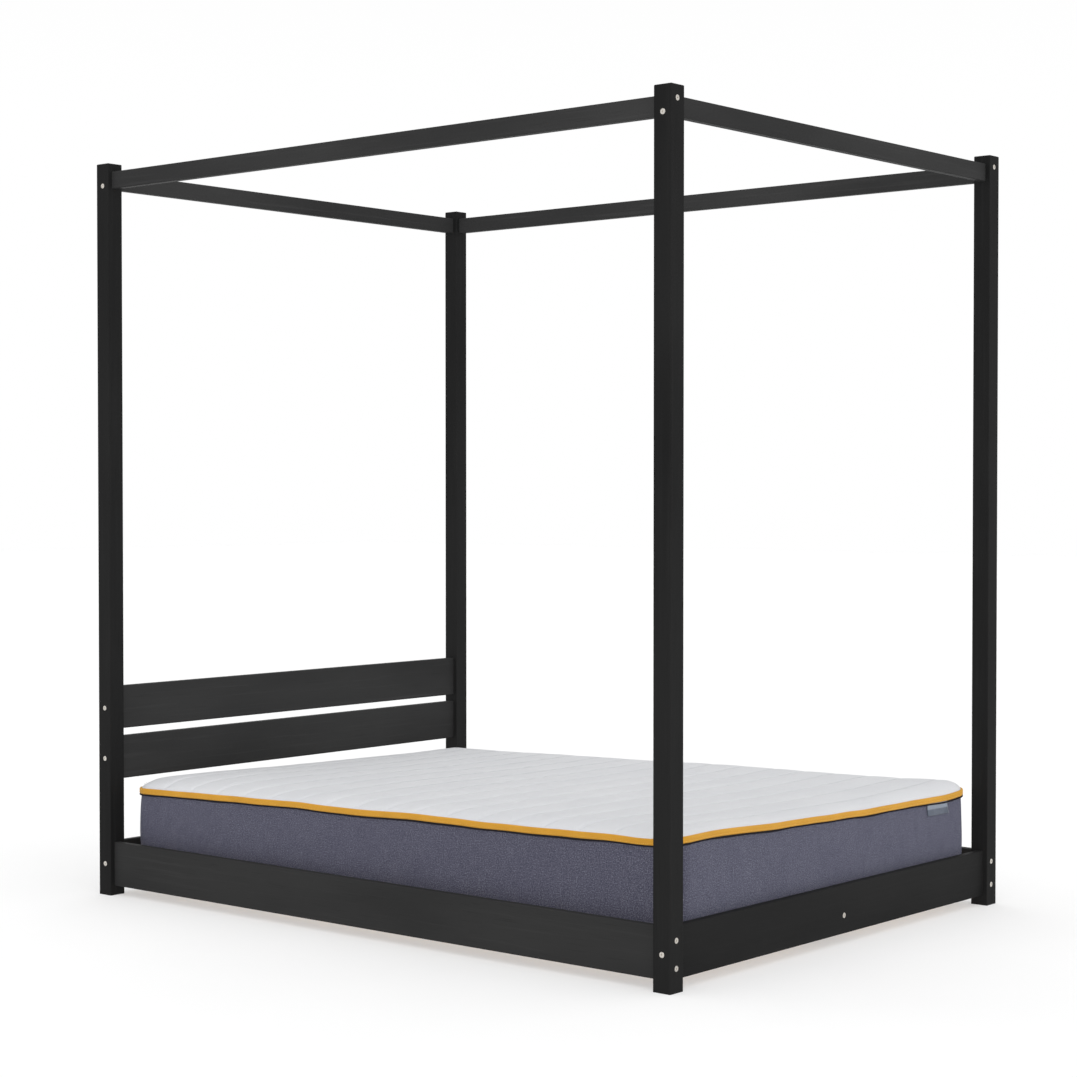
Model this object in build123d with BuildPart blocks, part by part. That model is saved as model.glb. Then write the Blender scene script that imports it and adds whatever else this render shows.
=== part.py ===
"""Four poster canopy bed for a 4 ft 6 double mattress, as a flat-pack timber frame with loose mattress.

Millimetres. +Z is up, +Y points to the head of the bed, the origin is on the floor under the
middle of the frame.
"""
import os
from collections import namedtuple

from build123d import *

# ---------------------------------------------------------------- driving dimensions
bed_length = 1983
bed_width = 1477
post_height = 2025
post_side = 49
board = 21                      # thickness of every rail and headboard plank
wood_edge = 2                   # eased edge radius on the painted timber
post_top_chamfer = 1.5

canopy_height = 47              # height of the canopy rail section
canopy_top = post_height - 22
rail_height = 121               # side, foot and head rails
rail_bottom = 26
plank_height = 119
lower_plank_bottom = 320
plank_gap = 21

beam_width = 45
beam_height = 48
ledger_width = 28
ledger_height = 30
ledger_length = 1880
bearer_top = 95                 # top of ledgers and centre beam, where the slats lie
slat_count = 14
slat_width = 70
slat_thickness = 16
slat_end_gap = 4.5              # slat end to side rail
slat_post_gap = 10              # outermost slat to the posts
leg_side = 45
leg_offset = 320                # each leg from mid-length of the beam

mattress_length = 1884
mattress_width = 1345
mattress_thickness = 224
mattress_shift = -8             # lies a little towards the foot end
mattress_corner = 66            # plan radius of the mattress corners
cover_thickness = 4             # border fabric with its wadding
base_thickness = 2.5
tape_height = 16
tape_thickness = 2.5
top_panel_height = 30
top_panel_round = 24
rest_gap = 0.3                  # mattress to slats
label_width, label_height, label_thickness = 100, 34, 1
label_from_middle = 492         # label centre from mid-width, on the foot border

# ---------------------------------------------------------------- joints
canopy_bolt_edge = 8            # bolt axis from the nearer edge of the canopy rail
canopy_dowel_offset = 4
side_bolt_offset = 31.5         # offsets are from the middle of the board's height
end_dowel_offset = 36
plank_dowel_offset = 38
beam_dowel_offset = 14

# ---------------------------------------------------------------- fasteners
bolt_shank_radius = 3
bolt_head_radius = 7
bolt_head_height = 2.6
bolt_head_round = 0.8
bolt_tip_chamfer = 0.8
bolt_hole_radius = 3.3
bolt_end_clearance = 3          # empty hole beyond the tip of a bolt
seat_radius = 7.6               # counterbore that the head sits in
seat_depth = 3.2
socket_across_flats = 4
socket_depth = 2
long_bolt = 90
short_bolt = 60
nut_radius = 5
nut_length = 15
nut_setback = 35                # nut axis from the end of its rail
nut_play = 0.2
nut_thread_radius = 3.1
nut_slot = (1.2, 1.6)           # width and depth of the screwdriver slot
nut_chamfer = 0.5
dowel_radius = 4
dowel_length = 38
dowel_chamfer = 0.8
dowel_in_host = 15.5            # depth of the dowel hole in the post
dowel_in_member = 24
dowel_play = 0.1                # radial, also round the leg studs
dowel_end_play = 0.5
stud_radius, stud_length = 4, 54
screw_radius = 2
screw_head_radius = 4
screw_length = 34
screw_play = 0.15
screw_tip = 4                   # length of the pointed tip
screw_end_play = 1
recess_width, recess_span, recess_depth = 0.9, 4.4, 1.5

# ---------------------------------------------------------------- worked out
half_width, half_length = bed_width / 2, bed_length / 2
post_x, post_y = half_width - post_side / 2, half_length - post_side / 2
clear_width, clear_length = bed_width - 2 * post_side, bed_length - 2 * post_side
inner_half_width = post_x - board / 2
inner_half_length = post_y - board / 2
rail_middle = rail_bottom + rail_height / 2
canopy_middle = canopy_top - canopy_height / 2
plank_middles = (lower_plank_bottom + plank_height / 2,
                 lower_plank_bottom + plank_gap + plank_height * 3 / 2)
beam_middle = bearer_top - beam_height / 2
slat_top = bearer_top + slat_thickness
slat_length = 2 * (inner_half_width - slat_end_gap)
first_slat = clear_length / 2 - slat_post_gap - slat_width / 2
slat_pitch = 2 * first_slat / (slat_count - 1)
slat_rows = [first_slat - slat_pitch * row for row in range(slat_count)]
ledger_x = inner_half_width - ledger_width / 2
gap_rows = [first_slat - slat_pitch * (row + 0.5) for row in range(0, slat_count - 1, 2)]
mattress_bottom = slat_top + rest_gap
mattress_top = mattress_bottom + mattress_thickness
tape_bottom = mattress_top - top_panel_height - tape_height
tape_top = tape_bottom + tape_height
foot_border = mattress_shift - mattress_length / 2

X, Y, Z = Vector(1, 0, 0), Vector(0, 1, 0), Vector(0, 0, 1)

# A member is a rail, plank or beam with a bolted and dowelled joint at both ends.  It runs along
# `along`; `inward` points across its thickness towards the middle of the bed, and `rise` points
# across its height.  `bolts` and `dowels` are offsets from its middle along `rise`, and `through` is
# the thickness of the piece that the bolt passes through first.  The barrel nuts go in from the
# side that `nut_side` points to, and the bolts lie `nut_cover` below that face.
Member = namedtuple("Member", "name joint middle along inward rise length thickness height "
                              "bolts dowels through bolt_length nut_side nut_cover")


def cross_member(name, joint, side, middle, height, bolts, dowels):
    """A board across the bed, at the foot (side -1) or head (side 1), with its nuts in the back."""
    return Member(name, joint, Y * side * post_y + Z * middle, X, Y * -side, Z, clear_width, board,
                  height, bolts, dowels, post_side, long_bolt, Y, board / 2)


def long_member(name, joint, side, middle, height, bolts, dowels):
    """A board along the bed, on the left (side -1) or right (side 1), with its nuts inside."""
    return Member(name, joint, X * side * post_x + Z * middle, Y, X * -side, Z, clear_length, board,
                  height, bolts, dowels, post_side, long_bolt, X * -side, board / 2)


def long_canopy_rail(name, side):
    """A canopy rail along the bed, with its nuts in the top."""
    rail = long_member(name, "canopy", side, canopy_middle, canopy_height, high, (-canopy_dowel_offset,))
    return rail._replace(nut_side=Z, nut_cover=canopy_bolt_edge)


low = (canopy_bolt_edge - canopy_height / 2,)
high = (canopy_height / 2 - canopy_bolt_edge,)
side_bolts = (-side_bolt_offset, side_bolt_offset)
end_dowels = (-end_dowel_offset, end_dowel_offset)
plank_dowels = (-plank_dowel_offset, plank_dowel_offset)
members = [
    cross_member("canopy_rail_foot", "canopy", -1, canopy_middle, canopy_height, low, (canopy_dowel_offset,)),
    cross_member("canopy_rail_head", "canopy", 1, canopy_middle, canopy_height, low, (canopy_dowel_offset,)),
    long_canopy_rail("canopy_rail_left", -1),
    long_canopy_rail("canopy_rail_right", 1),
    long_member("side_rail_left", "side_rail", -1, rail_middle, rail_height, side_bolts, (0,)),
    long_member("side_rail_right", "side_rail", 1, rail_middle, rail_height, side_bolts, (0,)),
    cross_member("foot_rail", "end_rail", -1, rail_middle, rail_height, (0,), end_dowels),
    cross_member("head_rail", "end_rail", 1, rail_middle, rail_height, (0,), end_dowels),
    cross_member("headboard_lower_plank", "headboard", 1, plank_middles[0], plank_height, (0,), plank_dowels),
    cross_member("headboard_upper_plank", "headboard", 1, plank_middles[1], plank_height, (0,), plank_dowels),
    Member("centre_beam", "centre_beam", Z * beam_middle, Y, -Z, X, 2 * inner_half_length, beam_height,
           beam_width, (0,), (-beam_dowel_offset, beam_dowel_offset), board, short_bolt,
           -Z, beam_height / 2),
]


def end_joints(member):
    """Outward direction and end point of both ends of a member."""
    return [(member.along * side, member.middle + member.along * (side * member.length / 2))
            for side in (-1, 1)]


def bolt_axes(member):
    """One plane per bolt, on the outer face of the piece it passes through, facing outwards."""
    return [Plane(end + out * member.through + member.rise * offset, z_dir=out)
            for out, end in end_joints(member) for offset in member.bolts]


def nut_axes(member, lift):
    """One plane per barrel nut, lifted off its bolt's axis towards the side it goes in from."""
    return [Plane(end - out * nut_setback + member.rise * offset + member.nut_side * lift,
                  x_dir=out, z_dir=member.nut_side)
            for out, end in end_joints(member) for offset in member.bolts]


def dowel_axes(member, facing):
    """One plane per dowel, on the member's end face; facing 1 looks out of it, -1 looks into it."""
    return [Plane(end + member.rise * offset, z_dir=out * facing)
            for out, end in end_joints(member) for offset in member.dowels]


def within(plane, x, y):
    """True where the plane's origin lies inside the post that stands at x, y."""
    return abs(plane.origin.X - x) < post_side and abs(plane.origin.Y - y) < post_side


def save(part, name):
    part.label = name
    export_step(part, f"parts/{name}.step")


os.makedirs("parts", exist_ok=True)

# ---------------------------------------------------------------- posts
for end_name, end_side in (("foot", -1), ("head", 1)):
    for side_name, side in (("left", -1), ("right", 1)):
        x, y = side * post_x, end_side * post_y
        framing = [member for member in members if member.joint != "centre_beam"]
        with BuildPart() as post:
            with BuildSketch(Plane((x, y, 0))):
                RectangleRounded(post_side, post_side, wood_edge)
            extrude(amount=post_height)
            chamfer(post.faces().sort_by(Axis.Z)[-1].edges(), post_top_chamfer)
            bolts = [plane for member in framing for plane in bolt_axes(member) if within(plane, x, y)]
            with Locations(*bolts):
                CounterBoreHole(bolt_hole_radius, seat_radius, seat_depth, post_side)
            dowels = [plane for member in framing for plane in dowel_axes(member, -1) if within(plane, x, y)]
            with Locations(*dowels):
                Hole(dowel_radius + dowel_play, dowel_in_host)
        save(post.part, f"post_{end_name}_{side_name}")

# ---------------------------------------------------------------- rails, planks and centre beam
beam = members[-1]
pilot_side = {"side_rail_left": -1, "side_rail_right": 1}
for member in members:
    with BuildPart() as board_part:
        section = Plane(member.middle - member.along * (member.length / 2), x_dir=member.inward,
                        z_dir=member.along)
        with BuildSketch(section):
            RectangleRounded(member.thickness, member.height, wood_edge)
        extrude(amount=member.length)
        with Locations(*[Plane(end + member.rise * offset, z_dir=out)
                         for out, end in end_joints(member) for offset in member.bolts]):
            Hole(bolt_hole_radius, member.bolt_length - member.through + seat_depth + bolt_end_clearance)
        with Locations(*nut_axes(member, member.nut_cover)):
            Hole(nut_radius + nut_play, member.nut_cover + nut_length / 2 + nut_play)
        with Locations(*dowel_axes(member, 1)):
            Hole(dowel_radius + dowel_play, dowel_in_member)
        if member.name in pilot_side:
            face_x = pilot_side[member.name] * inner_half_width
            with Locations(*[Plane((face_x, y, bearer_top - ledger_height / 2), z_dir=member.inward)
                             for y in gap_rows]):
                Hole(screw_radius + screw_play, screw_length - ledger_width + screw_end_play)
        if member.name in ("foot_rail", "head_rail"):
            with Locations(*[plane for plane in bolt_axes(beam) if plane.z_dir.dot(member.inward) < 0]):
                CounterBoreHole(bolt_hole_radius, seat_radius, seat_depth, board)
            with Locations(*[plane for plane in dowel_axes(beam, -1) if plane.z_dir.dot(member.inward) > 0]):
                Hole(dowel_radius + dowel_play, dowel_in_host)
        if member is beam:
            with Locations(*[Plane((0, y, bearer_top - beam_height), z_dir=-Z)
                             for y in (-leg_offset, leg_offset)]):
                Hole(stud_radius + dowel_play, stud_length / 2)
    save(board_part.part, member.name)

# ---------------------------------------------------------------- slat ledgers
for side_name, side in (("left", -1), ("right", 1)):
    with BuildPart() as ledger:
        with BuildSketch(Plane.XY.offset(bearer_top)):
            with Locations((side * ledger_x, 0)):
                Rectangle(ledger_width, ledger_length)
        extrude(amount=-ledger_height)
        inner_face = side * (ledger_x - ledger_width / 2)
        with Locations(*[Plane((inner_face, y, bearer_top - ledger_height / 2), z_dir=X * -side)
                         for y in gap_rows]):
            CounterSinkHole(screw_radius + screw_play, screw_head_radius + screw_play, ledger_width)
        with Locations(*[Plane((side * ledger_x, y, bearer_top)) for y in slat_rows]):
            Hole(screw_radius + screw_play, screw_length - slat_thickness + screw_end_play)
    save(ledger.part, f"slat_ledger_{side_name}")

# ---------------------------------------------------------------- cross slats
for number, y in enumerate(slat_rows, start=1):
    with BuildPart() as slat:
        with BuildSketch(Plane((0, y, bearer_top + slat_thickness / 2), x_dir=Y, z_dir=X)):
            RectangleRounded(slat_width, slat_thickness, wood_edge)
        extrude(amount=slat_length / 2, both=True)
        with Locations(*[Plane((x, y, slat_top)) for x in (-ledger_x, ledger_x)]):
            CounterSinkHole(screw_radius + screw_play, screw_head_radius + screw_play, slat_thickness)
    save(slat.part, f"slat_{number:02d}")

# ---------------------------------------------------------------- legs under the centre beam
for leg_name, y in (("foot", -leg_offset), ("head", leg_offset)):
    with BuildPart() as leg:
        with BuildSketch(Plane((0, y, 0))):
            RectangleRounded(leg_side, leg_side, wood_edge)
        extrude(amount=bearer_top - beam_height)
        with Locations(Plane((0, y, bearer_top - beam_height))):
            Hole(stud_radius + dowel_play, stud_length / 2)
    save(leg.part, f"centre_leg_{leg_name}")

with BuildPart() as centre_leg_studs:
    for y in (-leg_offset, leg_offset):
        with BuildSketch(Plane((0, y, bearer_top - beam_height))):
            Circle(stud_radius)
        extrude(amount=stud_length / 2 - dowel_end_play, both=True)
save(centre_leg_studs.part, "centre_leg_studs")


# ---------------------------------------------------------------- fasteners
def joint_bolt(length):
    """Flat-head socket bolt along -Z, its head seated below the face at Z = 0."""
    head_top = bolt_head_height - seat_depth
    with BuildPart() as bolt:
        with BuildSketch(Plane.XY.offset(-seat_depth)):
            Circle(bolt_head_radius)
        extrude(amount=bolt_head_height)
        fillet(bolt.edges().filter_by(GeomType.CIRCLE).sort_by(Axis.Z)[-1], bolt_head_round)
        with BuildSketch(Plane.XY.offset(-seat_depth)):
            Circle(bolt_shank_radius)
        extrude(amount=-length)
        chamfer(bolt.edges().filter_by(GeomType.CIRCLE).sort_by(Axis.Z)[0], bolt_tip_chamfer)
        with BuildSketch(Plane.XY.offset(head_top)):
            RegularPolygon(socket_across_flats / 2, 6, major_radius=False)
        extrude(amount=-socket_depth, mode=Mode.SUBTRACT)
    return bolt.part


def barrel_nut():
    """Cross dowel along Z with its middle on the origin, drilled along X."""
    with BuildPart() as nut:
        with BuildSketch(Plane.XY):
            Circle(nut_radius)
        extrude(amount=nut_length / 2, both=True)
        chamfer(nut.edges().filter_by(GeomType.CIRCLE), nut_chamfer)
        with BuildSketch(Plane.YZ):
            Circle(nut_thread_radius)
        extrude(amount=nut_radius, both=True, mode=Mode.SUBTRACT)
        slot_width, slot_depth = nut_slot
        with BuildSketch(Plane.XY.offset(nut_length / 2)):
            Rectangle(2 * nut_radius, slot_width)
        extrude(amount=-slot_depth, mode=Mode.SUBTRACT)
    return nut.part


def dowel():
    """Wooden dowel across a joint face at Z = 0, longer on its member's side, towards -Z."""
    with BuildPart() as peg:
        with BuildSketch(Plane.XY.offset(dowel_in_host - dowel_end_play)):
            Circle(dowel_radius)
        extrude(amount=-dowel_length)
        chamfer(peg.edges().filter_by(GeomType.CIRCLE), dowel_chamfer)
    return peg.part


def wood_screw():
    """Countersunk cross-head screw along -Z, its head flush with the face at Z = 0."""
    cone = screw_head_radius - screw_radius
    with BuildPart() as screw:
        with BuildSketch(Plane.XZ):
            with BuildLine():
                Polyline((0, 0), (screw_head_radius, 0), (screw_radius, -cone),
                         (screw_radius, screw_tip - screw_length), (0, -screw_length), close=True)
            make_face()
        revolve(axis=Axis.Z)
        with BuildSketch(Plane.XY):
            Rectangle(recess_span, recess_width)
            Rectangle(recess_width, recess_span)
        extrude(amount=-recess_depth, mode=Mode.SUBTRACT)
    return screw.part


def save_group(piece, planes, name):
    """Write copies of one fastener, one on each plane, as a group of separate solids."""
    with BuildPart() as group:
        with Locations(*planes):
            add(piece)
    save(group.part, name)


for joint in ("canopy", "side_rail", "end_rail", "headboard", "centre_beam"):
    joined = [member for member in members if member.joint == joint]
    bolt_planes = [plane for member in joined for plane in bolt_axes(member)]
    nut_planes = [plane for member in joined for plane in nut_axes(member, 0)]
    dowel_planes = [plane for member in joined for plane in dowel_axes(member, 1)]
    save_group(joint_bolt(joined[0].bolt_length), bolt_planes, f"{joint}_bolts")
    save_group(barrel_nut(), nut_planes, f"{joint}_barrel_nuts")
    save_group(dowel(), dowel_planes, f"{joint}_dowels")

slat_screw_planes = [Plane((x, y, slat_top)) for x in (-ledger_x, ledger_x) for y in slat_rows]
save_group(wood_screw(), slat_screw_planes, "slat_screws")
ledger_screw_planes = [Plane((side * (ledger_x - ledger_width / 2), y, bearer_top - ledger_height / 2),
                             z_dir=X * -side) for side in (-1, 1) for y in gap_rows]
save_group(wood_screw(), ledger_screw_planes, "ledger_screws")


# ---------------------------------------------------------------- mattress
def mattress_outline(inset, mode=Mode.ADD):
    """Rounded plan outline of the mattress, drawn in by inset all round (out if negative)."""
    with Locations((0, mattress_shift)):
        RectangleRounded(mattress_width - 2 * inset, mattress_length - 2 * inset, mattress_corner - inset,
                         mode=mode)


with BuildPart() as mattress_base_panel:
    with BuildSketch(Plane.XY.offset(mattress_bottom)):
        mattress_outline(cover_thickness)
    extrude(amount=base_thickness)
save(mattress_base_panel.part, "mattress_base_panel")

with BuildPart() as mattress_core:
    with BuildSketch(Plane.XY.offset(mattress_bottom + base_thickness)):
        mattress_outline(cover_thickness)
    extrude(amount=tape_top - mattress_bottom - base_thickness)
save(mattress_core.part, "mattress_core")

with BuildPart() as mattress_border:
    with BuildSketch(Plane.XY.offset(mattress_bottom)):
        mattress_outline(0)
        mattress_outline(cover_thickness, mode=Mode.SUBTRACT)
    extrude(amount=tape_top - mattress_bottom)
save(mattress_border.part, "mattress_border")

with BuildPart() as mattress_edge_tape:
    with BuildSketch(Plane.XY.offset(tape_bottom)):
        mattress_outline(-tape_thickness)
        mattress_outline(0, mode=Mode.SUBTRACT)
    extrude(amount=tape_height)
    rims = mattress_edge_tape.faces().group_by(Axis.Z)
    outer_rims = [face.outer_wire().edges() for face in (rims[0][0], rims[-1][0])]
    fillet(outer_rims[0] + outer_rims[1], tape_thickness / 2)
save(mattress_edge_tape.part, "mattress_edge_tape")

with BuildPart() as mattress_top_panel:
    with BuildSketch(Plane.XY.offset(tape_top)):
        mattress_outline(0)
    extrude(amount=top_panel_height)
    fillet(mattress_top_panel.faces().sort_by(Axis.Z)[-1].edges(), top_panel_round)
save(mattress_top_panel.part, "mattress_top_panel")

with BuildPart() as mattress_label:
    with BuildSketch(Plane((label_from_middle, foot_border, tape_bottom - label_height / 2), x_dir=X,
                           z_dir=-Y)):
        Rectangle(label_width, label_height)
    extrude(amount=label_thickness)
save(mattress_label.part, "mattress_label")
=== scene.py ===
"""Looks of the four poster canopy bed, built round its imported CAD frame, in metres."""
import math

import bpy
import numpy as np
from mathutils import Euler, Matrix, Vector


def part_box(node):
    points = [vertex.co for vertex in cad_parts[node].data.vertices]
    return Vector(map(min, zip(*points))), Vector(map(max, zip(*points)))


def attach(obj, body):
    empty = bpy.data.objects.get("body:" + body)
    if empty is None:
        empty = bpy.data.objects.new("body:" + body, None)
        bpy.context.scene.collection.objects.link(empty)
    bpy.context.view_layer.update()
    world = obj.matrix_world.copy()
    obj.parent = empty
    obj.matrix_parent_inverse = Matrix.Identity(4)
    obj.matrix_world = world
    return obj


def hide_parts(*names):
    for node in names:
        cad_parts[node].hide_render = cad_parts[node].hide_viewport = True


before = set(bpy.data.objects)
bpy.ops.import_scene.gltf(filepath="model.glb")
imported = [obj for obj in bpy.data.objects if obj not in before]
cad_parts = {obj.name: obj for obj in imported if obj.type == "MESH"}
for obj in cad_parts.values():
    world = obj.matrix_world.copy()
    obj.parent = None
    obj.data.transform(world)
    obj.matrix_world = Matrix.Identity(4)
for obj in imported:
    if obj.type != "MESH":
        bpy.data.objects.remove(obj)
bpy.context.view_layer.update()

# ---------------------------------------------------------------- mattress, from the frame's own boxes
PANEL_LOW, PANEL_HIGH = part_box("mattress_top_panel")
BORDER_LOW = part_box("mattress_border")[0]
TAPE_LOW, TAPE_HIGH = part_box("mattress_edge_tape")
BASE_LOW, BASE_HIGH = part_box("mattress_base_panel")
LABEL_LOW, LABEL_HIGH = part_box("mattress_label")
CENTRE_Y = (PANEL_LOW.y + PANEL_HIGH.y) / 2
HALF_X = (PANEL_HIGH.x - PANEL_LOW.x) / 2
HALF_Y = (PANEL_HIGH.y - PANEL_LOW.y) / 2
CORNER = 0.066                 # plan radius of the mattress corners
TAPE_HALF = (TAPE_HIGH.z - TAPE_LOW.z) / 2
TAPE_MID = (TAPE_HIGH.z + TAPE_LOW.z) / 2

LEAN_X, LEAN_Y = -0.0165, -0.0155  # the soft top stands a little higher towards the foot's left corner
EDGE_RIPPLE = 0.0026           # how far the tape's line wanders up and down
EDGE_BUMPS = (                 # rises and dips of the edge: x, y, height and reach
    (-0.67, -0.86, -0.005, 0.060),
    (-0.50, -0.95, 0.009, 0.28),
    (0.67, -0.95, 0.005, 0.14),
    (0.655, -0.93, 0.004, 0.055),
    (-0.67, 0.93, -0.006, 0.40),
)
CROWN = 0.021                  # rise of the quilted top above the tape where it is least full
CROWN_REACH = 0.115            # distance from the edge over which it rises
DOME = 0.004                   # further rise towards the middle
CHANNEL_PITCH = 0.1047         # quilting channels run across the bed
CHANNEL_SHIFT = -0.031         # place of the crease that is nearest the middle, from the mattress's centre
CHANNEL_DEPTH = 0.0052         # depth of a stitched crease where the pull is 1
CREASE = 0.0048                # half width of the crease
WANDER = 0.0035                # furthest that a crease strays from its straight line
PILLOW = 0.0008                # swell of the stuffing between two creases
PUCKER = 0.0011                # height of the small gathers beside a crease
RUMPLE = 0.0010                # height of the broad unevenness of the top
FULL_RIGHT = 0.70              # share by which the crown is higher along the right side
FULL_SPOT = (-0.50, 0.85, 0.45, 0.30)  # a fuller spot near the head: x, y, share and reach
PULL = 0.62                    # depth of the creases in the middle, as a share of CHANNEL_DEPTH
PULL_LEFT, PULL_REACH = 2.6, 0.15      # what is added at the left side, and how far it reaches
PULL_RIGHT = 0.32              # what is taken off at the right side
PULL_HEAD = 0.62               # share that is taken off in the half towards the head
PILLOW_CELLS = 16              # mesh rows between two creases, closest at the creases
PANEL_CELL = 0.010             # mesh size of the top panel away from its edges
EDGE_CELLS, EDGE_BAND = 18, 0.12   # finer mesh over the crowned edge
SWELL_STEPS = 20               # frames of the cloth simulation
SWELL_GROW = 0.0015            # share by which a cover is larger than the stuffing under it
SWELL_CAP = 0.0014             # furthest that a cover moves out
SWELL_CELLS = 8                # rows of the simulated cover between two creases
SWELL_CELL = 0.014             # mesh size of the simulated cover
SWELL_EDGE_CELLS = 8           # mesh lines of the simulated cover over the crowned edge
SWELL_PRESSURE = 3.0           # outward push of the stuffing
AROUND = 760                   # mesh columns round the mattress
SLAB_POINTS = AROUND // 2      # mesh columns of the core and the base, which are hidden or plain
BORDER_ROWS = 26               # mesh rows up the outside of the border
BORDER_BULGE = 0.0045          # how far the border stands out halfway up, from its ends
BORDER_INSET = 0.0035          # how far the border's ends lie inside the outline
BORDER_DEPTH = 0.012           # from the outline to the border's inner face
TAPE_OUT = 0.0034              # half thickness of the edge tape
SHADOW_LINE_DROP = 0.0018             # from the tape's lower edge to the middle of the dark cord that paints the shadow line under the tape
STITCHES_AROUND = 1050         # stitches in the tape's row
STITCH_STEP = 0.0075           # length of one quilting stitch and its gap
STITCH_MARGIN = 0.02           # quilting stitches stop this far from the sides
DOTS_PER_METRE = 115.0         # rubber dots of the base cloth
NOISE_CELLS = 1024             # size of the random lattice that the noise repeats over
NOISE_SHIFT = (511.3, 511.7)   # puts the bed in the middle of the lattice, away from its seam


# ---------------------------------------------------------------- shapes
def value_noise(x, y, cell, seed):
    """Smooth noise from -1 to 1 over the plane, with features of about one cell."""
    lattice = np.random.default_rng(seed).uniform(-1, 1, (NOISE_CELLS, NOISE_CELLS))
    gx, gy = np.asarray(x) / cell + NOISE_SHIFT[0], np.asarray(y) / cell + NOISE_SHIFT[1]
    ix, iy = np.floor(gx).astype(int), np.floor(gy).astype(int)
    fx, fy = gx - ix, gy - iy
    fx, fy = fx * fx * (3 - 2 * fx), fy * fy * (3 - 2 * fy)
    jx, jy = (ix + 1) % NOISE_CELLS, (iy + 1) % NOISE_CELLS
    ix, iy = ix % NOISE_CELLS, iy % NOISE_CELLS
    low = lattice[ix, iy] * (1 - fx) + lattice[jx, iy] * fx
    high = lattice[ix, jy] * (1 - fx) + lattice[jx, jy] * fx
    return low * (1 - fy) + high * fy


def outline(count):
    """Points, outward normals and distances along the mattress outline, anticlockwise from the right."""
    hx, hy, arc = HALF_X - CORNER, HALF_Y - CORNER, CORNER * math.pi / 2
    steps = np.cumsum([0, hy, arc, 2 * hx, arc, 2 * hy, arc, 2 * hx, arc, hy])
    along = np.arange(count) * steps[-1] / count
    core_x = np.interp(along, steps, [hx, hx, hx, -hx, -hx, -hx, -hx, hx, hx, hx])
    core_y = np.interp(along, steps, [0, hy, hy, hy, hy, -hy, -hy, -hy, -hy, 0])
    turn = np.interp(along, steps, np.radians([0, 0, 90, 90, 180, 180, 270, 270, 360, 360]))
    normal = np.stack([np.cos(turn), np.sin(turn)], axis=1)
    core = np.stack([core_x, core_y + CENTRE_Y], axis=1)
    return core + CORNER * normal, normal, along


def edge_height(x, y):
    """Height of the middle of the edge tape over a point of the outline."""
    ripple = value_noise(x, y, 0.23, 3) + 0.35 * value_noise(x, y, 0.08, 4)
    height = TAPE_MID + LEAN_X * x + LEAN_Y * (y - CENTRE_Y) + EDGE_RIPPLE * ripple
    for bump_x, bump_y, lift, reach in EDGE_BUMPS:
        height = height + lift * np.exp(-(np.hypot(x - bump_x, y - bump_y) / reach) ** 2)
    return height


def new_piece(name, points, faces, uvs=None):
    """A smooth mesh object; uvs gives the cloth coordinates, in metres, that its weave follows."""
    mesh = bpy.data.meshes.new(name)
    mesh.from_pydata([tuple(p) for p in points], [], faces)
    if uvs is not None:
        layer = mesh.uv_layers.new(name="cloth")
        loops = np.zeros(len(mesh.loops), int)
        mesh.loops.foreach_get("vertex_index", loops)
        flat = uvs(mesh, loops)
        layer.data.foreach_set("uv", np.asarray(flat, np.float32).ravel())
    mesh.polygons.foreach_set("use_smooth", [True] * len(mesh.polygons))
    mesh.update()
    piece = bpy.data.objects.new(name, mesh)
    bpy.context.scene.collection.objects.link(piece)
    return piece


def ring_faces(rings, count, closed):
    """Quads between rings of count points each, and between the last and the first if closed."""
    faces = []
    for r in range(rings if closed else rings - 1):
        a, b = r * count, (r + 1) % rings * count
        faces += [(a + i, a + (i + 1) % count, b + (i + 1) % count, b + i) for i in range(count)]
    return faces


def ring_uvs(count, length, heights):
    """Cloth coordinates for rings of points: distance round the mattress, and height."""
    def uvs(mesh, loops):
        u = (loops % count) * length / count
        v = np.asarray(heights)[loops // count]
        starts = np.zeros(len(mesh.polygons), int)
        totals = np.zeros(len(mesh.polygons), int)
        mesh.polygons.foreach_get("loop_start", starts)
        mesh.polygons.foreach_get("loop_total", totals)
        for start, total in zip(starts, totals):
            if total == 4 and np.ptp(u[start:start + 4]) > length / 2:
                part = u[start:start + 4]
                part[part < length / 2] += length
        return np.stack([u, v], axis=1)
    return uvs


def square_to_disc(s, t):
    """Turns the unit square's far corner into a quarter circle, so that a grid fills a round corner."""
    return s * np.sqrt(1 - t * t / 2), t * np.sqrt(1 - s * s / 2)


def cross_lines(half, cell, edge_cells):
    """Mesh lines from one long side to the other, closest together at the edges."""
    band = EDGE_BAND * np.linspace(0, 1, edge_cells + 1) ** 1.7
    middle = np.linspace(-half + EDGE_BAND, half - EDGE_BAND, round(2 * (half - EDGE_BAND) / cell) + 1)
    return np.concatenate([-half + band[:-1], middle, half - band[::-1][1:]])


def channel_places(half):
    """Places of the quilting channels along the bed, from its centre; none lies in the end's own seam."""
    count = math.ceil(half / CHANNEL_PITCH)
    places = np.arange(-count, count + 1) * CHANNEL_PITCH + CHANNEL_SHIFT
    return places[np.abs(places) < half - 0.03]


def channel_lines(half, cells):
    """Mesh lines from the foot to the head, closest together at the quilting channels and the edges."""
    stops = np.concatenate([[-half], channel_places(half), [half]])
    turn = (1 - np.cos(np.linspace(0, math.pi, cells + 1)[:-1])) / 2
    lines = [low + (high - low) * turn for low, high in zip(stops[:-1], stops[1:])]
    return np.concatenate(lines + [[half]])


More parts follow.
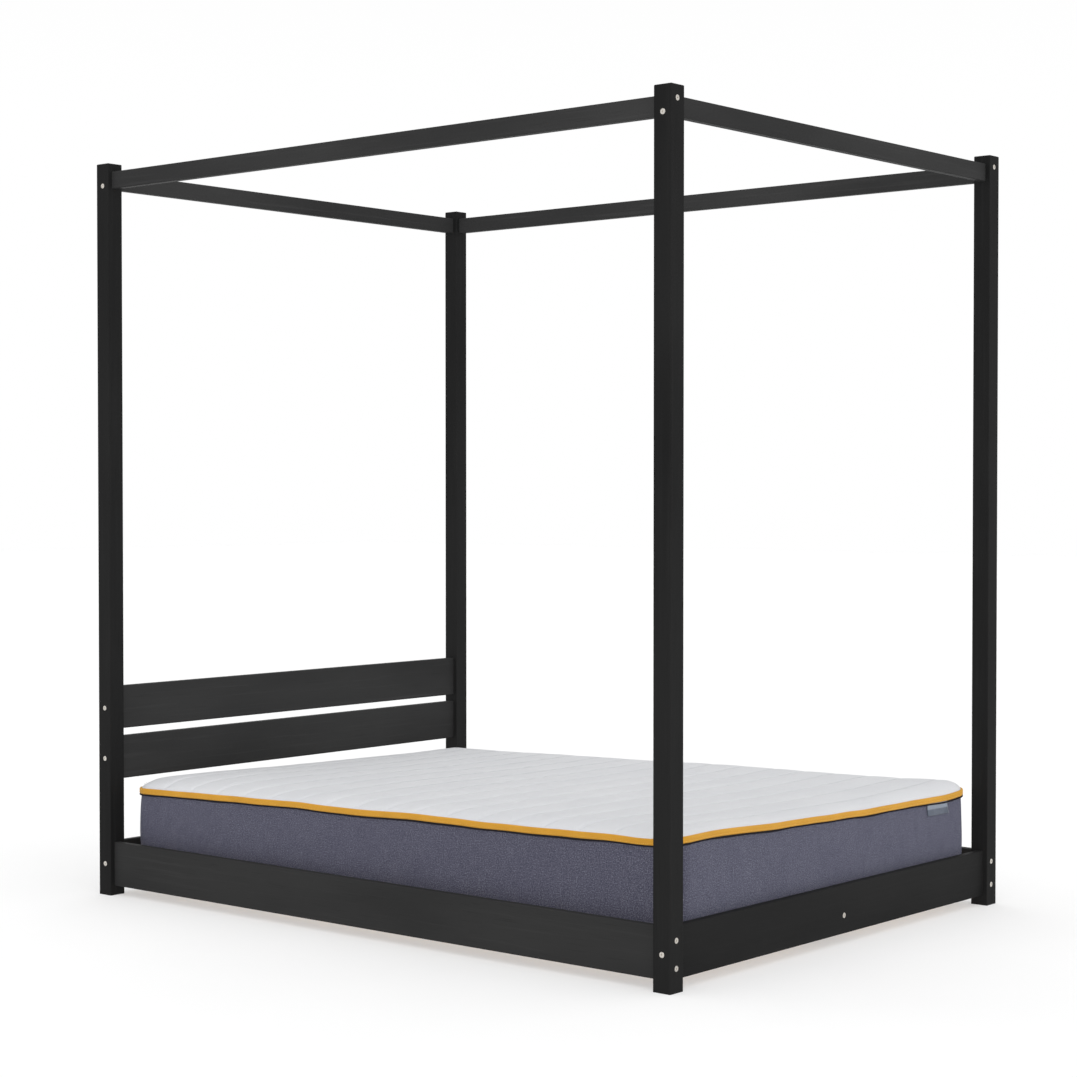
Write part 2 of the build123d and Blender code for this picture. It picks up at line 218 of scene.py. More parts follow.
def rounded_grid(across, lengthwise, inset):
    """Grid of mesh lines over the mattress outline, drawn in by inset: x, y and distance from the edge."""
    corner = CORNER - inset
    hx, hy = HALF_X - inset, HALF_Y - inset
    gx, gy = np.meshgrid(across, lengthwise, indexing="ij")
    s = np.clip((np.abs(gx) - (hx - corner)) / corner, 0, 1)
    t = np.clip((np.abs(gy) - (hy - corner)) / corner, 0, 1)
    ds, dt = square_to_disc(s, t)
    both = (s > 0) & (t > 0)
    x = np.where(both, np.sign(gx) * (hx - corner + corner * ds), gx)
    y = np.where(both, np.sign(gy) * (hy - corner + corner * dt), gy)
    straight = np.minimum(hx - np.abs(x), hy - np.abs(y))
    over = np.hypot(np.abs(x) - (hx - corner), np.abs(y) - (hy - corner))
    edge = np.where(both, corner - over, straight)
    return x, y + CENTRE_Y, np.maximum(edge, 0)


def grid_faces(rows, columns):
    """Quads of a grid whose points are stored row by row."""
    return [(r * columns + c, (r + 1) * columns + c, (r + 1) * columns + c + 1, r * columns + c + 1)
            for r in range(rows - 1) for c in range(columns - 1)]


def grid_rim(rows, columns):
    """Indices of a grid's outer points, anticlockwise seen from above."""
    bottom = [r * columns for r in range(rows)]
    right = [(rows - 1) * columns + c for c in range(1, columns)]
    top = [r * columns + columns - 1 for r in range(rows - 2, -1, -1)]
    left = list(range(columns - 2, 0, -1))
    return bottom + right + top + left


def planar_uvs(points):
    """Cloth coordinates for a piece that lies flat: its own x and y."""
    flat = np.asarray(points)[:, :2]
    return lambda mesh, loops: flat[loops]


def from_channel(y):
    """Distance across the bed's length to the nearest quilting channel."""
    past = (y - CENTRE_Y - CHANNEL_SHIFT) % CHANNEL_PITCH
    return np.minimum(past, CHANNEL_PITCH - past)


def wander(x, y, edge):
    """How far a channel strays from its straight line."""
    return WANDER * value_noise(x, y * 0.4, 0.30, 11) * np.clip(edge / 0.10, 0, 1)


def fullness(x, y):
    """Share by which the crown is higher than elsewhere: along the right side, and in one spot."""
    side = FULL_RIGHT * np.clip(x / HALF_X, 0, 1) ** 2 * np.clip((0.85 - y) / 0.95, 0, 1)
    spot_x, spot_y, share, reach = FULL_SPOT
    return side + share * np.exp(-((x - spot_x) ** 2 + (y - spot_y) ** 2) / reach ** 2)


def stitch_pull(x, y):
    """How deep the creases are, as a share of CHANNEL_DEPTH: deepest along the left side near the foot."""
    left = PULL_LEFT * np.exp(-(x + HALF_X) / PULL_REACH)
    right = PULL_RIGHT * np.clip((x - 0.3) / 0.3, 0, 1)
    return (PULL + left - right) * (1 - PULL_HEAD * np.clip((y + 0.20) / 0.35, 0, 1))


def top_height(x, y, edge):
    """Upper surface of the quilted top panel, with y taken before the channels wander."""
    rise = np.clip(edge / CROWN_REACH, 0, 1)
    crown = CROWN * (1 + fullness(x, y)) * (1 - (1 - rise) ** 2.6) ** (1 / 1.7)
    dome = DOME * np.clip(edge / HALF_X, 0, 1)
    plane = TAPE_MID + LEAN_X * x + LEAN_Y * (y - CENTRE_Y)
    rim = (edge_height(x, y) - plane) * np.clip(1 - edge / 0.40, 0, 1) ** 2
    away = from_channel(y)
    pull = stitch_pull(x, y)
    arch = np.sqrt(np.clip(1 - (1 - 2 * away / CHANNEL_PITCH) ** 2, 0, 1)) - 1
    pillow = PILLOW * np.clip(pull, 0, 1) * arch
    crease = -np.minimum(CHANNEL_DEPTH * pull, crown * 0.6) * np.exp(-away / CREASE)
    pucker = PUCKER * value_noise(x, y * 0.15, 0.016, 21) * np.exp(-away / 0.016)
    rumple = RUMPLE * value_noise(x, y, 0.20, 22)
    inside = np.clip(edge / 0.016, 0, 1)
    return plane + rim + TAPE_HALF * 0.55 + crown + dome + (pillow + crease + pucker + rumple) * inside


def swell(points, faces, sewn):
    """How far each point of a cover moves when its stuffing pushes it out between its seams."""
    cover = new_piece("swelling_cover", points, faces)
    cover.vertex_groups.new(name="sewn").add([int(i) for i in np.flatnonzero(sewn)], 1.0, "REPLACE")
    modifier = cover.modifiers.new("swell", "CLOTH")
    cloth = modifier.settings
    cloth.quality, cloth.mass, cloth.air_damping = 5, 0.15, 2.0
    cloth.tension_stiffness = cloth.compression_stiffness = 20.0
    cloth.shear_stiffness, cloth.bending_stiffness = 5.0, 1.5
    cloth.vertex_group_mass, cloth.pin_stiffness = "sewn", 1.0
    cloth.shrink_min = -SWELL_GROW
    cloth.use_pressure, cloth.uniform_pressure_force = True, SWELL_PRESSURE
    cloth.effector_weights.gravity = 0.0
    modifier.collision_settings.use_collision = False
    for step in range(1, SWELL_STEPS + 1):
        bpy.context.scene.frame_set(step)
    settled = np.zeros(len(points) * 3)
    shape = cover.evaluated_get(bpy.context.evaluated_depsgraph_get())
    shape.data.vertices.foreach_get("co", settled)
    bpy.data.objects.remove(cover)
    bpy.context.scene.frame_set(1)
    move = settled.reshape(-1, 3) - points
    size = np.linalg.norm(move, axis=1, keepdims=True)
    return move * (SWELL_CAP * np.tanh(size / SWELL_CAP) / np.maximum(size, 1e-9))


def resample(field, old, new):
    """Carries a field along its first axis from old mesh lines to new ones, by cubic interpolation."""
    at = np.clip(np.searchsorted(old, new, side="right") - 1, 0, len(old) - 2)
    share = ((new - old[at]) / (old[at + 1] - old[at]))[:, None, None]
    before, after = np.maximum(at - 1, 0), np.minimum(at + 2, len(old) - 1)
    a, b, c, d = field[before], field[at], field[at + 1], field[after]
    return b + 0.5 * share * (c - a + share * (2 * a - 5 * b + 4 * c - d + share * (3 * (b - c) + d - a)))


def top_points(x, y, edge):
    """Points of the quilted top before its cover swells."""
    return np.stack([x, y + wander(x, y, edge), top_height(x, y, edge)], axis=-1)


def top_swell(across, lengthwise, inset):
    """Movement of the quilted top's mesh points, from a coarser cover that is simulated as cloth."""
    wide = cross_lines(HALF_X - inset, SWELL_CELL, SWELL_EDGE_CELLS)
    long = channel_lines(HALF_Y - inset, SWELL_CELLS)
    x, y, edge = rounded_grid(wide, long, inset)
    points = top_points(x, y, edge).reshape(-1, 3)
    sewn = ((edge < 0.004) | (from_channel(y) < 0.001)).ravel()
    move = swell(points, grid_faces(*x.shape), sewn).reshape(*x.shape, 3)
    move = resample(move, wide, across)
    return resample(move.transpose(1, 0, 2), long, lengthwise).transpose(1, 0, 2)


def make_top_panel():
    """Quilted top of the mattress: a crowned closed form with sewn channels across it."""
    inset = 0.002
    across = cross_lines(HALF_X - inset, PANEL_CELL, EDGE_CELLS)
    lengthwise = channel_lines(HALF_Y - inset, PILLOW_CELLS)
    x, y, edge = rounded_grid(across, lengthwise, inset)
    rows, columns = x.shape
    upper = (top_points(x, y, edge) + top_swell(across, lengthwise, inset)).reshape(-1, 3)
    rim = grid_rim(rows, columns)
    under = upper[rim].copy()
    under[:, 2] = edge_height(under[:, 0], under[:, 1]) - TAPE_HALF * 0.5
    points = np.concatenate([upper, under])
    first = len(upper)
    lower = list(range(first, first + len(rim)))
    faces = grid_faces(rows, columns)
    following, beyond = rim[1:] + rim[:1], lower[1:] + lower[:1]
    faces += list(zip(rim, lower, beyond, following))
    faces.append(tuple(reversed(lower)))
    return new_piece("mattress_quilted_top", points, faces, planar_uvs(points))


def make_border():
    """Woven side panel: a closed padded ring that swells a little between the tape and the base."""
    place, normal, along = outline(AROUND)
    length = along[-1] + along[1]
    top = edge_height(place[:, 0], place[:, 1]) - TAPE_HALF * 0.4
    bottom = BORDER_LOW.z
    rings, heights = [], []
    for share in np.linspace(0, 1, BORDER_ROWS):
        z = bottom + (top - bottom) * share
        bulge = BORDER_BULGE * (1 - abs(2 * share - 1) ** 2.4) - BORDER_INSET
        tuck = -0.004 * (1 - min(share / 0.06, 1)) ** 2
        dent = 0.0016 * value_noise(along, z, 0.11, 31)
        dent = dent + 0.0009 * value_noise(along * 2.2, z * 0.7, 0.05, 32)
        out = bulge + tuck + dent * math.sin(math.pi * share) ** 0.5
        rings.append(np.column_stack([place + normal * out[:, None], z]))
        heights.append(float(z.mean()))
    for share in (1, 0):
        z = bottom + (top - bottom) * share
        rings.append(np.column_stack([place - normal * BORDER_DEPTH, z]))
        heights.append(float(z.mean()))
    points = np.concatenate(rings)
    faces = ring_faces(len(rings), AROUND, closed=True)
    return new_piece("mattress_side_panel", points, faces, ring_uvs(AROUND, length, heights))


def loft_ring(name, section, drop, outward, wobble=0.0, seed=0):
    """A closed band that runs round the mattress, a drop below the tape's middle; section holds its
    outline as (outward, up) pairs."""
    place, normal, along = outline(AROUND)
    length = along[-1] + along[1]
    middle = edge_height(place[:, 0], place[:, 1]) - drop
    drift = wobble * value_noise(along, along * 0, 0.09, seed)
    rings = [np.column_stack([place + normal * (outward + out), middle + up + drift])
             for out, up in section]
    walk = np.concatenate([[0], np.cumsum(np.hypot(*np.diff(np.array(section), axis=0).T))])
    points = np.concatenate(rings)
    faces = ring_faces(len(rings), AROUND, closed=True)
    return new_piece(name, points, faces, ring_uvs(AROUND, length, walk))


def oval(half_out, half_up, power, steps):
    """Points of a rounded oblong section, bottom first."""
    turns = np.linspace(-math.pi / 2, 3 * math.pi / 2, steps, endpoint=False)
    return [(half_out * math.copysign(abs(math.cos(a)) ** power, math.cos(a)),
             half_up * math.copysign(abs(math.sin(a)) ** power, math.sin(a))) for a in turns]


def make_slab(name, layers):
    """A closed slab in the mattress outline; layers holds (inset, height) from bottom to top, where a
    height is one number or one for each point of the slab's outline."""
    place, normal, _ = outline(SLAB_POINTS)
    rings = [np.column_stack([place - normal * inset, np.broadcast_to(height, SLAB_POINTS)])
             for inset, height in layers]
    points = np.concatenate(rings)
    faces = ring_faces(len(rings), SLAB_POINTS, closed=False)
    faces.append(tuple(range(SLAB_POINTS - 1, -1, -1)))
    last = (len(rings) - 1) * SLAB_POINTS
    faces.append(tuple(range(last, last + SLAB_POINTS)))
    return new_piece(name, points, faces, planar_uvs(points))


def make_stitches(name, starts, ends, lifts, radius):
    """Thread stitches, each a small six-sided capsule from a start to an end, bowed out along its lift."""
    sides, rings = 6, ((0.0, 0.35), (0.25, 0.95), (0.75, 0.95), (1.0, 0.35))
    turns = np.arange(sides) * 2 * math.pi / sides
    points, faces = [], []
    for start, end, lift in zip(starts, ends, lifts):
        first = len(points)
        run = (end - start) / np.linalg.norm(end - start)
        across = np.cross(lift, run)
        for share, size in rings:
            middle = start + (end - start) * share + lift * radius * 0.8 * math.sin(math.pi * share)
            points += [middle + radius * size * (across * math.cos(a) + lift * math.sin(a)) for a in turns]
        for ring in range(len(rings) - 1):
            a, b = first + ring * sides, first + (ring + 1) * sides
            faces += [(a + i, a + (i + 1) % sides, b + (i + 1) % sides, b + i) for i in range(sides)]
        faces.append(tuple(range(first + sides - 1, first - 1, -1)))
        faces.append(tuple(range(first + (len(rings) - 1) * sides, first + len(rings) * sides)))
    return new_piece(name, points, faces)


def make_tape_stitches():
    """One row of stitches along the lower half of the edge tape."""
    place, normal, _ = outline(STITCHES_AROUND)
    z = edge_height(place[:, 0], place[:, 1]) - TAPE_HALF * 0.45
    line = np.column_stack([place + normal * (TAPE_OUT - 0.00005), z])
    step = np.roll(line, -1, axis=0) - line
    lift = np.column_stack([normal, np.zeros(len(place))])
    return make_stitches("mattress_tape_stitches", line + step * 0.18, line + step * 0.82, lift, 0.00042)


def make_quilt_stitches():
    """Stitches that sink into the quilting channels of the top panel."""
    starts, ends = [], []
    for place in channel_places(HALF_Y):
        x = np.arange(-HALF_X + STITCH_MARGIN, HALF_X - STITCH_MARGIN, STITCH_STEP)
        y = np.full_like(x, CENTRE_Y + place)
        edge = np.minimum(HALF_X - np.abs(x), HALF_Y - np.abs(y - CENTRE_Y))
        points = np.column_stack([x, y + wander(x, y, edge), top_height(x, y, edge) + 0.0002])
        step = np.diff(points, axis=0)
        starts.append(points[:-1] + step * 0.2)
        ends.append(points[:-1] + step * 0.8)
    starts, ends = np.concatenate(starts), np.concatenate(ends)
    lifts = np.tile([0.0, 0.0, 1.0], (len(starts), 1))
    return make_stitches("mattress_quilt_stitches", starts, ends, lifts, 0.00055)


def make_label():
    """Blank folded satin tag, sewn in under the tape, its lower edge standing a little off the border."""
    width, height = LABEL_HIGH.x - LABEL_LOW.x, LABEL_HIGH.z - LABEL_LOW.z
    columns, rows, thick = 28, 16, 0.0009
    u, v = np.meshgrid(np.linspace(0, 1, columns), np.linspace(0, 1, rows), indexing="ij")
    x = LABEL_LOW.x + width * u + 0.006 * v * (u - 0.2)
    top = edge_height(LABEL_LOW.x + width * u, np.full_like(u, BORDER_LOW.y)) - TAPE_HALF * 0.8
    z = top - height * v
    stand = 0.0012 + 0.0045 * v ** 1.6 * (0.35 + 0.65 * u) + 0.0012 * np.sin(5.5 * u + 0.6) * v
    front = np.stack([x, BORDER_LOW.y - stand - thick, z], axis=-1).reshape(-1, 3)
    back = np.stack([x, BORDER_LOW.y - stand, z], axis=-1).reshape(-1, 3)
    count = rows * columns
    faces = [tuple(reversed(f)) for f in grid_faces(columns, rows)]
    faces += [tuple(i + count for i in f) for f in grid_faces(columns, rows)]
    rim = grid_rim(columns, rows)
    faces += [(rim[i], rim[(i + 1) % len(rim)], rim[(i + 1) % len(rim)] + count, rim[i] + count)
              for i in range(len(rim))]
    points = np.concatenate([front, back])
    flat = np.tile(np.stack([width * u, -height * v], axis=-1).reshape(-1, 2), (2, 1))
    return new_piece("mattress_tag", points, faces, lambda mesh, loops: flat[loops])


# ---------------------------------------------------------------- materials
class Surface:
    """A material under construction: calls add nodes and hand back the output that the next one takes."""

    def __init__(self, name, **constants):
        self.material = bpy.data.materials.new(name)
        self.material.use_nodes = True
        self.tree = self.material.node_tree
        self.shader = self.tree.nodes["Principled BSDF"]
        for socket, value in constants.items():
            self.shader.inputs[socket.replace("_", " ")].default_value = value

    def feed(self, socket, value):
        if isinstance(value, bpy.types.NodeSocket):
            self.tree.links.new(value, socket)
        elif isinstance(value, tuple) and len(value) == 3 and socket.type == "RGBA":
            socket.default_value = (*value, 1)
        else:
            socket.default_value = value

    def node(self, kind, inputs, **settings):
        made = self.tree.nodes.new("ShaderNode" + kind)
        for setting, value in settings.items():
            setattr(made, setting, value)
        for key, value in inputs.items():
            self.feed(made.inputs[key], value)
        return made

    def place(self, scale=(1, 1, 1), move=(0, 0, 0)):
        """The piece's own coordinates in metres, scaled and then moved."""
        here = self.node("TexCoord", {}).outputs["Object"]
        return self.node("Mapping", {"Vector": here, "Location": move, "Scale": scale}).outputs[0]

    def cloth(self):
        """The cloth's own coordinates in metres, apart: along and up."""
        uv = self.node("UVMap", {}, uv_map="cloth").outputs[0]
        split = self.node("SeparateXYZ", {0: uv})
        return split.outputs[0], split.outputs[1]

    def vector(self, x, y, z=0.0):
        return self.node("CombineXYZ", {0: x, 1: y, 2: z}).outputs[0]

    def noise(self, vector, scale, detail=2.0, roughness=0.5, distortion=0.0):
        inputs = {"Vector": vector, "Scale": scale, "Detail": detail, "Roughness": roughness}
        return self.node("TexNoise", {**inputs, "Distortion": distortion}).outputs["Fac"]

    def cells(self, vector, scale, randomness=1.0):
        """Distance to the nearest of scattered points, which stand in a grid if randomness is 0."""
        inputs = {"Vector": vector, "Scale": scale, "Randomness": randomness}
        return self.node("TexVoronoi", inputs, feature="F1").outputs["Distance"]

    def calc(self, operation, a, b=0.0, c=0.0):
        return self.node("Math", {0: a, 1: b, 2: c}, operation=operation).outputs[0]

    def spread(self, value, low, high, to_low=0.0, to_high=1.0):
        """Maps a range of a value smoothly to another, held at both ends."""
        inputs = {"Value": value, "From Min": low, "From Max": high, "To Min": to_low, "To Max": to_high}
        return self.node("MapRange", inputs, interpolation_type="SMOOTHSTEP").outputs[0]

    def ridges(self, value, spacing):
        """Rounded ridges from 0 to 1, a spacing in metres apart."""
        return self.calc("ABSOLUTE", self.calc("SINE", self.calc("MULTIPLY", value, math.pi / spacing)))

    def stretched(self, along, up, along_scale, up_scale, layer=0.0):
        """Cloth coordinates stretched for streaky noise."""
        wide, high = self.calc("MULTIPLY", along, along_scale), self.calc("MULTIPLY", up, up_scale)
        return self.vector(wide, high, layer)

    def blend(self, share, a, b):
        """Mixes two colours; a and b are colours or outputs."""
        made = self.node("Mix", {"Factor": share}, data_type="RGBA", blend_type="MIX")
        self.feed(made.inputs[6], a)
        self.feed(made.inputs[7], b)
        return made.outputs[2]

    def worn_edge(self, radius, ragged):
        """1 along the piece's outer edges and 0 on its faces, broken up by a noise."""
        rounded = self.node("Bevel", {"Radius": radius}, samples=6).outputs[0]
        true = self.node("NewGeometry", {}).outputs["True Normal"]
        match = self.node("VectorMath", {0: rounded, 1: true}, operation="DOT_PRODUCT").outputs["Value"]
        return self.calc("MULTIPLY", self.spread(match, 0.995, 0.86), self.spread(ragged, 0.42, 0.66))

    def relief(self, *layers):
        """Bump from layers of (height output, depth in metres, strength), coarsest first."""
        normal = None
        for height, depth, strength in layers:
            inputs = {"Height": height, "Distance": depth, "Strength": strength}
            if normal is not None:
                inputs["Normal"] = normal
            normal = self.node("Bump", inputs).outputs[0]
        self.feed(self.shader.inputs["Normal"], normal)

    def finish(self, colour, roughness):
        self.feed(self.shader.inputs["Base Color"], colour)
        self.feed(self.shader.inputs["Roughness"], roughness)
        return self.material


def along_grain(axis, along, across):
    """Texture scale for timber whose grain runs along an axis."""
    return tuple(along if i == axis else across for i in range(3))


def grey(value):
    return (value, value, value)


def painted_timber(name, axis, painted_light_tone):
    """Satin charcoal paint on planed pine: the grain shows through faintly, and the edges are lighter,
    partly rubbed paint and partly a painted highlight.
    """
    s = Surface(name, Specular_IOR_Level=0.03)
    grain = s.noise(s.place(along_grain(axis, 2.2, 95.0)), 1.0, 5.0, 0.62, 0.35)
    pores = s.noise(s.place(along_grain(axis, 9.0, 620.0)), 1.0, 2.0, 0.5)
    cloudy = s.noise(s.place(along_grain(axis, 0.9, 3.0)), 1.0, 3.0, 0.55)
    orange_peel = s.noise(s.place(), 420.0, 2.0, 0.5)
    worn = s.worn_edge(0.0025, s.noise(s.place(), 26.0, 5.0, 0.65))
    # The last argument makes this copy of the paint lighter or darker for the light and shade on its
    # members: painted light
    dark = tuple(0.0150 * painted_light_tone * k for k in (1.0, 1.0, 1.01))
    light = grey(0.0235 * painted_light_tone)
    colour = s.blend(s.spread(cloudy, 0.3, 0.7), dark, light)
    colour = s.blend(s.spread(grain, 0.52, 0.72, 0.0, 0.30), colour, grey(0.033 * painted_light_tone))
    colour = s.blend(s.spread(pores, 0.60, 0.75, 0.0, 0.35), colour, grey(0.008 * painted_light_tone))
    # Lighter along the edges: partly paint rubbed thin, partly a painted highlight where the edges catch
    # the light
    colour = s.blend(s.calc("MULTIPLY", worn, 0.55), colour, (0.070, 0.066, 0.060))
    rough = s.calc("ADD", s.spread(grain, 0.3, 0.7, 0.48, 0.57), s.spread(cloudy, 0.3, 0.7, -0.03, 0.04))
    rough = s.calc("SUBTRACT", rough, s.calc("MULTIPLY", worn, 0.08))
    s.relief((grain, 0.00030, 0.55), (pores, 0.00012, 0.45), (orange_peel, 0.00006, 0.35))
    return s.finish(colour, rough)


def bare_timber(name, axis, sap, heart, ring_scale, knots):
    """Planed unfinished wood: curved growth rings, fine fibres and, in pine, small knots."""
    s = Surface(name, Specular_IOR_Level=0.35)
    drift = s.noise(s.place(along_grain(axis, 1.1, 5.0)), 1.0, 3.0, 0.5)
    sway = s.vector(*(s.calc("MULTIPLY", drift, reach) for reach in (1.6, 1.3, 0.9)))
    straight = s.place(along_grain(axis, 0.5, 6.0), (0.31, 0.17, 0.23))
    bent = s.node("VectorMath", {0: straight, 1: sway}, operation="ADD")
    rings = s.node("TexWave", {"Vector": bent.outputs[0], "Scale": ring_scale, "Distortion": 2.6,
                               "Detail": 2.0, "Detail Scale": 1.2}, wave_type="RINGS",
                   rings_direction="XYZ"[axis], wave_profile="SAW").outputs["Fac"]
    fibres = s.noise(s.place(along_grain(axis, 7.0, 900.0)), 1.0, 3.0, 0.6)
    tint = s.noise(s.place((0.7, 13.0, 3.0)), 1.0, 1.0, 0.5)
    colour = s.blend(s.spread(rings, 0.25, 1.0, 0.0, 0.75), sap, heart)
    colour = s.blend(s.spread(tint, 0.3, 0.7, 0.0, 0.4), colour, tuple(c * 0.78 for c in heart))
    colour = s.blend(s.spread(fibres, 0.5, 0.8, 0.0, 0.28), colour, tuple(c * 0.45 for c in heart))
    if knots:
        spots = s.cells(s.place(along_grain(axis, 2.1, 5.2), (0.4, 0.9, 0.2)), 1.0)
        knot = s.spread(spots, 0.13, 0.05)
        colour = s.blend(s.calc("MULTIPLY", knot, 0.85), colour, (0.145, 0.060, 0.022))
        halo = s.spread(spots, 0.24, 0.10)
        colour = s.blend(s.calc("MULTIPLY", halo, 0.30), colour, (0.30, 0.15, 0.060))
    rough = s.spread(rings, 0.0, 1.0, 0.62, 0.52)
    s.relief((rings, 0.00025, 0.4), (fibres, 0.00015, 0.5))
    return s.finish(colour, rough)


def plated_steel(name, colour, tint, rough_low, rough_high, scratch_scale):
    """Plated steel: fine turning marks and scratches, stained here and there."""
    s = Surface(name, Metallic=1.0, Anisotropic=0.25)
    stain = s.noise(s.place(), 160.0, 4.0, 0.6)
    scratches = s.noise(s.place((scratch_scale, scratch_scale * 0.12, scratch_scale)), 1.0, 3.0, 0.7)
    grit = s.noise(s.place(), 2400.0, 2.0, 0.5)
    worn = s.worn_edge(0.0006, stain)
    shade = s.blend(s.spread(stain, 0.35, 0.7), colour, tint)
    shade = s.blend(s.calc("MULTIPLY", worn, 0.5), shade, tuple(min(1.0, c * 1.25) for c in colour))
    rough = s.spread(scratches, 0.3, 0.7, rough_low, rough_high)
    rough = s.calc("ADD", rough, s.spread(stain, 0.4, 0.8, 0.0, 0.08))
    s.relief((scratches, 0.00003, 0.5), (grit, 0.00002, 0.4))
    return s.finish(shade, rough)


def plain_weave(s, along, up, pitch, slub):
    """Height of a plain weave, and a mask that is 1 where the warp lies over the weft; the yarns swell
    and thin by the slub noise."""
    u, v = s.calc("DIVIDE", along, pitch), s.calc("DIVIDE", up, pitch)
    warp, weft = s.ridges(u, 1.0), s.ridges(v, 1.0)
    cell = s.calc("ADD", s.calc("FLOOR", u), s.calc("FLOOR", v))
    over = s.calc("LESS_THAN", s.calc("FLOORED_MODULO", cell, 2.0), 0.5)
    crossed = s.calc("MULTIPLY", s.calc("MULTIPLY", warp, weft), 0.5)
    warp_high = s.calc("MULTIPLY_ADD", warp, 0.5, crossed)
    weft_high = s.calc("MULTIPLY_ADD", weft, 0.5, crossed)
    under = s.calc("SUBTRACT", 1.0, over)
    height = s.calc("ADD", s.calc("MULTIPLY", warp_high, over), s.calc("MULTIPLY", weft_high, under))
    return s.calc("ADD", height, s.calc("MULTIPLY", slub, 0.35)), over


def border_fabric():
    """Heathered slate-blue linen: dark and light yarns mixed, with slubs both ways."""
    s = Surface("border_linen", Specular_IOR_Level=0.12, Sheen_Weight=0.20, Sheen_Roughness=0.5)
    s.shader.inputs["Sheen Tint"].default_value = (0.55, 0.58, 0.75, 1)
    along, up = s.cloth()
    warp_slub = s.noise(s.stretched(along, up, 520.0, 26.0), 1.0, 3.0, 0.6)
    weft_slub = s.noise(s.stretched(along, up, 26.0, 520.0, 3.0), 1.0, 3.0, 0.6)
    height, over = plain_weave(s, along, up, 0.0011, warp_slub)
    fleck = s.noise(s.vector(along, up), 900.0, 2.0, 0.7)
    heather = s.noise(s.vector(along, s.calc("MULTIPLY", up, 1.3)), 290.0, 4.0, 0.80)
    patch = s.noise(s.vector(along, up, 1.0), 7.0, 3.0, 0.55)
    navy, slate, pale = (0.042, 0.041, 0.067), (0.082, 0.081, 0.115), (0.250, 0.252, 0.305)
    warp = s.blend(s.spread(warp_slub, 0.36, 0.64), navy, slate)
    weft = s.blend(s.spread(weft_slub, 0.36, 0.64), (0.054, 0.053, 0.080), (0.104, 0.103, 0.140))
    colour = s.blend(over, weft, warp)
    colour = s.blend(s.spread(heather, 0.36, 0.50, 0.80, 0.0), colour, (0.028, 0.027, 0.045))
    colour = s.blend(s.spread(heather, 0.50, 0.64, 0.0, 0.66), colour, pale)
    colour = s.blend(s.spread(warp_slub, 0.62, 0.76, 0.0, 0.55), colour, pale)
    colour = s.blend(s.spread(fleck, 0.62, 0.74, 0.0, 0.45), colour, pale)
    colour = s.blend(s.spread(patch, 0.3, 0.7, 0.0, 0.22), colour, (0.060, 0.058, 0.090))
    # Near black down between the yarns of the weave: painted shade
    colour = s.blend(s.spread(height, 0.1, 0.55, 0.45, 0.0), colour, (0.012, 0.012, 0.020))
    s.relief((patch, 0.0015, 0.10), (warp_slub, 0.0004, 0.35), (height, 0.00045, 0.75))
    return s.finish(colour, s.spread(weft_slub, 0.3, 0.7, 0.82, 0.93))


def quilt_fabric():
    """Pale stretch knit of the quilted top: fine wales and courses, with a soft damask of raised ribs."""
    s = Surface("quilt_knit", Specular_IOR_Level=0.18, Sheen_Weight=0.25, Sheen_Roughness=0.4)
    along, up = s.cloth()
    wale, course, rib_pitch = 0.0016, 0.0013, 0.0138
    wales = s.ridges(along, wale)
    within = s.calc("FLOORED_MODULO", s.calc("DIVIDE", along, wale), 1.0)
    skew = s.calc("MULTIPLY", s.calc("ABSOLUTE", s.calc("SUBTRACT", within, 0.5)), wale)
    courses = s.ridges(s.calc("ADD", up, skew), course)
    loops = s.calc("MULTIPLY", s.calc("POWER", wales, 0.6), s.calc("POWER", courses, 0.5))
    rib = s.calc("POWER", s.ridges(up, rib_pitch), 0.7)
    fuzz = s.noise(s.vector(along, up), 1500.0, 2.0, 0.6)
    patch = s.noise(s.vector(along, s.calc("MULTIPLY", up, 1.6)), 4.0, 3.0, 0.5)
    white, shade = (0.640, 0.646, 0.662), (0.560, 0.568, 0.592)
    colour = s.blend(s.spread(patch, 0.3, 0.7), white, (0.605, 0.612, 0.632))
    # Darker down between the knit loops and in the grooves between the raised ribs: painted shade
    colour = s.blend(s.spread(loops, 0.1, 0.8, 0.55, 0.0), colour, shade)
    colour = s.blend(s.spread(rib, 0.0, 0.35, 0.35, 0.0), colour, (0.530, 0.538, 0.565))
    colour = s.blend(s.spread(fuzz, 0.55, 0.8, 0.0, 0.3), colour, (0.700, 0.702, 0.710))
    s.relief((rib, 0.0007, 0.35), (patch, 0.002, 0.12), (loops, 0.0005, 0.7), (fuzz, 0.0002, 0.3))
    return s.finish(colour, s.spread(patch, 0.3, 0.7, 0.84, 0.92))


